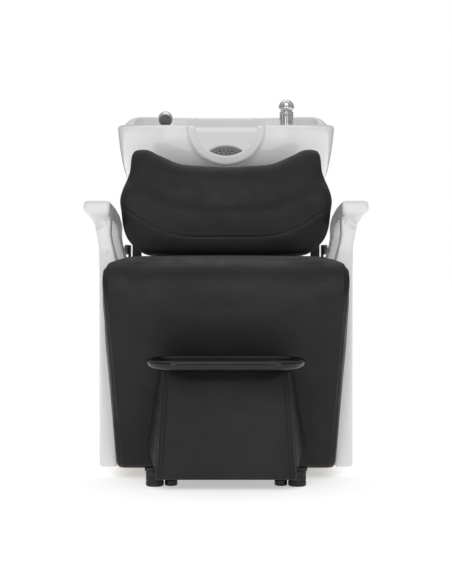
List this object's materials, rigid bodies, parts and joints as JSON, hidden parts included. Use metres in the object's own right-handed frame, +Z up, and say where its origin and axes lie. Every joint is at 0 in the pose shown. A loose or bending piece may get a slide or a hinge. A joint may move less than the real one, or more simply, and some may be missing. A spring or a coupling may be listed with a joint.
{
  "type": "shampoo backwash unit",
  "caption": "Upholstered backwash seat with waterfall front, white arms, footrest with tray, and a tilting ceramic basin with mixer tap and hand shower behind the backrest.",
  "frame": {"origin": "on the floor, at the middle of the unit's overall plan", "axes": "+Z up, -Y is the way the seated person faces, +X is to the right when facing the unit from its front"},
  "size_m": [0.656, 1.2202, 0.954],
  "materials": {
    "black_leather": "fine-grained black imitation leather, semi-matt",
    "white_plastic": "glossy white ABS moulding",
    "white_ceramic": "white glazed ceramic",
    "chrome": "polished chrome plate",
    "black_steel": "black powder coat",
    "bare_steel": "bare zinc-plated steel",
    "black_gloss": "glossy black moulding",
    "black_rubber": "matt black rubber",
    "grey_plastic": "matt grey moulding",
    "plywood": "bare plywood",
    "black_board": "black-painted plywood",
    "white_pipe": "white waste-pipe plastic"
  },
  "bodies": {
    "base": {"seat_cushion": "black_leather", "backrest_cushion": "black_leather", "footrest_front_pad": "black_leather", "footrest_side_pad_left": "black_leather", "footrest_side_pad_right": "black_leather", "side_shell_left": "white_plastic", "side_shell_right": "white_plastic", "column_side_left": "white_plastic", "column_side_right": "white_plastic", "column_front_cover": "white_plastic", "service_panel": "white_plastic", "base_runner_left": "black_steel", "base_runner_right": "black_steel", "cross_tube_front": "black_steel", "cross_tube_rear": "black_steel", "foot_plate_left": "black_steel", "foot_plate_right": "black_steel", "arm_bracket_left": "black_steel", "arm_bracket_right": "black_steel", "backrest_board": "black_steel", "backrest_upright_left": "black_steel", "backrest_upright_right": "black_steel", "tilt_bracket_left": "black_steel", "tilt_bracket_right": "black_steel", "column_post_left": "black_steel", "column_post_right": "black_steel", "tilt_pin": "bare_steel", "service_panel_screw_left": "bare_steel", "service_panel_screw_right": "bare_steel", "footrest_tray": "black_gloss", "levelling_glide_left": "black_gloss", "levelling_glide_right": "black_gloss", "rubber_foot_front_left": "black_rubber", "rubber_foot_front_right": "black_rubber", "rubber_foot_rear_left": "black_rubber", "rubber_foot_rear_right": "black_rubber", "arm_end_cap_left": "grey_plastic", "arm_end_cap_right": "grey_plastic", "seat_front_board": "plywood", "seat_top_board": "plywood", "seat_side_board_left": "plywood", "seat_side_board_right": "plywood", "footrest_top_board": "black_board"},
    "bowl": {"bowl": "white_ceramic", "bowl_cradle": "black_steel", "tilt_bush_left": "white_pipe", "tilt_bush_right": "white_pipe", "drain_tailpiece": "white_pipe", "bottle_trap": "white_pipe", "mixer_body": "chrome", "mixer_lock_nut": "bare_steel", "shower_lock_nut": "bare_steel", "shower_holder": "chrome"},
    "clamp_lever": {"tilt_clamp_lever": "black_gloss"},
    "strainer": {"strainer": "grey_plastic"},
    "mixer_hub": {"mixer_hub": "chrome", "mixer_lever_pin": "bare_steel"},
    "mixer_lever": {"mixer_lever": "chrome"},
    "hand_shower": {"hand_shower": "chrome", "spray_face": "grey_plastic"}
  },
  "joints": [
    {"name": "bowl_tilt", "type": "hinge", "parent": "base", "child": "bowl", "pos_m": [0, 0.2, 0.655], "axis": [-1, 0, 0], "range_deg": [0, 12]},
    {"name": "clamp_turn", "type": "hinge", "parent": "base", "child": "clamp_lever", "pos_m": [0.12, 0.2, 0.655], "axis": [-1, 0, 0], "range_deg": [0, 36]},
    {"name": "strainer_lift", "type": "slide", "parent": "bowl", "child": "strainer", "axis": [0, -0.7071, 0.7071], "range_m": [0, 0.04]},
    {"name": "mixer_turn", "type": "hinge", "parent": "bowl", "child": "mixer_hub", "pos_m": [0.173, 0.47, 0.873], "axis": [0, 0, 1], "range_deg": [-45, 45]},
    {"name": "mixer_lift", "type": "hinge", "parent": "mixer_hub", "child": "mixer_lever", "pos_m": [0.173, 0.47, 0.932], "axis": [1, 0, 0], "range_deg": [0, 20]},
    {"name": "shower_lift", "type": "slide", "parent": "bowl", "child": "hand_shower", "axis": [0, 0, 1], "range_m": [0, 0.1]}
  ]
}
